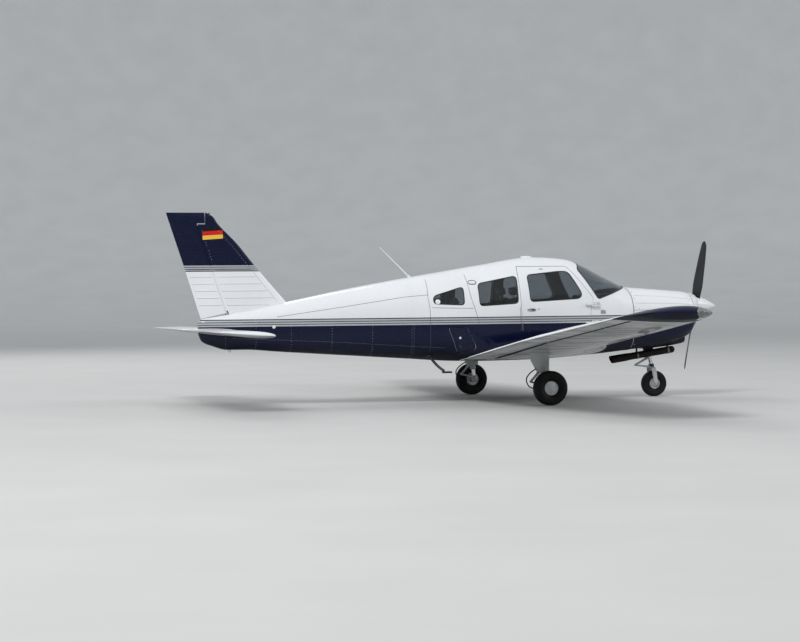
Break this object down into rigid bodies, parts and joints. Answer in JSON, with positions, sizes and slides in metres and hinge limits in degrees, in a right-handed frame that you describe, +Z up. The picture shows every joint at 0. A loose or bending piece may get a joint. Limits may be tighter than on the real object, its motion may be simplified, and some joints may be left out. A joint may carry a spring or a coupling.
{
  "type": "light aircraft",
  "caption": "Low-wing single-engine light aircraft with hollow cabin, hinged doors, turning propeller and wheels, steered nose gear and moving control surfaces.",
  "frame": {"origin": "on the ground under the middle of the aircraft's length and span; the main wheel axle is 0.7595 m ahead of it", "axes": "+X forward to the nose, +Y to the left wing tip, +Z up"},
  "size_m": [7.289, 10.6742, 2.385],
  "materials": {
    "white_paint": "gloss white paint on sheet aluminium",
    "navy_paint": "gloss dark navy paint on sheet aluminium",
    "clear_glazing": "clear acrylic glazing with a light smoke tint",
    "bare_steel": "plain sheet steel",
    "engine_iron": "engine block, matte",
    "sooty_steel": "heat-stained and sooty steel pipe",
    "blade_black": "satin black paint",
    "gear_grey": "light grey paint",
    "tyre_rubber": "black tyre rubber",
    "wheel_alloy": "painted cast alloy",
    "seat_leather": "brown leather",
    "panel_plastic": "matt black panel"
  },
  "bodies": {
    "airframe": {"cabin_shell": "white_paint", "cabin_shell_rear": "white_paint", "cabin_roof_front": "white_paint", "cabin_roof_rear": "white_paint", "windshield": "clear_glazing", "window_front_left": "clear_glazing", "window_middle_left": "clear_glazing", "window_rear_left": "clear_glazing", "window_middle_right": "clear_glazing", "window_rear_right": "clear_glazing", "wing_left": "white_paint", "wing_right": "white_paint", "wing_tip_left": "navy_paint", "wing_tip_right": "navy_paint", "fin": "navy_paint", "tail_cone": "white_paint", "cowl_upper": "white_paint", "cowl_lower": "navy_paint", "nose_bowl": "white_paint", "firewall": "bare_steel", "engine_block": "engine_iron", "exhaust": "sooty_steel", "main_leg_left": "gear_grey", "main_leg_right": "gear_grey", "nose_strut": "gear_grey", "seat_front_left": "seat_leather", "seat_front_right": "seat_leather", "seat_rear": "seat_leather", "instrument_panel": "panel_plastic", "antenna": "white_paint", "boarding_step": "gear_grey"},
    "cabin_door": {"cabin_door": "white_paint", "window_door": "clear_glazing"},
    "baggage_door": {"baggage_door": "navy_paint"},
    "propeller": {"propeller_blades": "blade_black", "spinner": "white_paint"},
    "main_wheel_left": {"main_tyre_left": "tyre_rubber", "main_hub_left": "wheel_alloy"},
    "main_wheel_right": {"main_tyre_right": "tyre_rubber", "main_hub_right": "wheel_alloy"},
    "nose_fork": {"nose_fork": "gear_grey"},
    "nose_wheel": {"nose_tyre": "tyre_rubber", "nose_hub": "wheel_alloy"},
    "flap_left": {"flap_left": "white_paint"},
    "flap_right": {"flap_right": "white_paint"},
    "aileron_left": {"aileron_left": "white_paint"},
    "aileron_right": {"aileron_right": "white_paint"},
    "rudder": {"rudder": "navy_paint"},
    "stabilator": {"stabilator": "white_paint"},
    "stabilator_tab": {"stabilator_tab": "white_paint"}
  },
  "joints": [
    {"name": "propeller_spin", "type": "hinge", "parent": "airframe", "child": "propeller", "pos_m": [3.3445, 0, 1.17], "axis": [1, 0, 0], "continuous": true},
    {"name": "main_wheel_left_roll", "type": "hinge", "parent": "airframe", "child": "main_wheel_left", "pos_m": [0.7595, 1.524, 0.21], "axis": [0, 1, 0], "continuous": true},
    {"name": "main_wheel_right_roll", "type": "hinge", "parent": "airframe", "child": "main_wheel_right", "pos_m": [0.7595, -1.524, 0.21], "axis": [0, 1, 0], "continuous": true},
    {"name": "nose_steer", "type": "hinge", "parent": "airframe", "child": "nose_fork", "pos_m": [2.6945, 0, 0.56], "axis": [-0.1961, 0, 0.9806], "range_deg": [-30, 30]},
    {"name": "nose_wheel_roll", "type": "hinge", "parent": "nose_fork", "child": "nose_wheel", "pos_m": [2.7595, 0, 0.1675], "axis": [0, 1, 0], "continuous": true},
    {"name": "cabin_door_swing", "type": "hinge", "parent": "airframe", "child": "cabin_door", "pos_m": [1.6895, -0.575, 0.975], "axis": [0, 0, 1], "range_deg": [0, 75]},
    {"name": "baggage_door_swing", "type": "hinge", "parent": "airframe", "child": "baggage_door", "pos_m": [0.0555, -0.52962, 0.881], "axis": [-0.4519, -0.0479, 0.8908], "range_deg": [0, 90]},
    {"name": "flap_left_lower", "type": "hinge", "parent": "airframe", "child": "flap_left", "pos_m": [0.3255, 0.65349, 0.60266], "axis": [0.0251, -0.9927, -0.118], "range_deg": [0, 40]},
    {"name": "flap_right_lower", "type": "hinge", "parent": "airframe", "child": "flap_right", "pos_m": [0.3255, -0.65349, 0.60266], "axis": [-0.0251, -0.9927, 0.118], "range_deg": [0, 40]},
    {"name": "aileron_left_turn", "type": "hinge", "parent": "airframe", "child": "aileron_left", "pos_m": [0.27529, 2.70906, 0.84681], "axis": [-0.0439, -0.9928, -0.1111], "range_deg": [-25, 12.5]},
    {"name": "aileron_right_turn", "type": "hinge", "parent": "airframe", "child": "aileron_right", "pos_m": [0.27529, -2.70906, 0.84681], "axis": [0.0439, -0.9928, 0.1111], "range_deg": [-25, 12.5]},
    {"name": "rudder_turn", "type": "hinge", "parent": "airframe", "child": "rudder", "pos_m": [-2.9145, 0, 1.133], "axis": [-0.3157, 0, 0.9489], "range_deg": [-27, 27]},
    {"name": "stabilator_turn", "type": "hinge", "parent": "airframe", "child": "stabilator", "pos_m": [-2.9405, 0, 0.915], "axis": [0, 1, 0], "range_deg": [-6, 10]},
    {"name": "stabilator_tab_turn", "type": "hinge", "parent": "stabilator", "child": "stabilator_tab", "pos_m": [-3.36355, 0, 0.94458], "axis": [0, 1, 0], "range_deg": [-6, 10]}
  ],
  "couplings": [
    {"joint": "flap_right_lower", "follows": "flap_left_lower", "ratio": 1},
    {"joint": "stabilator_tab_turn", "follows": "stabilator_turn", "ratio": 1}
  ]
}
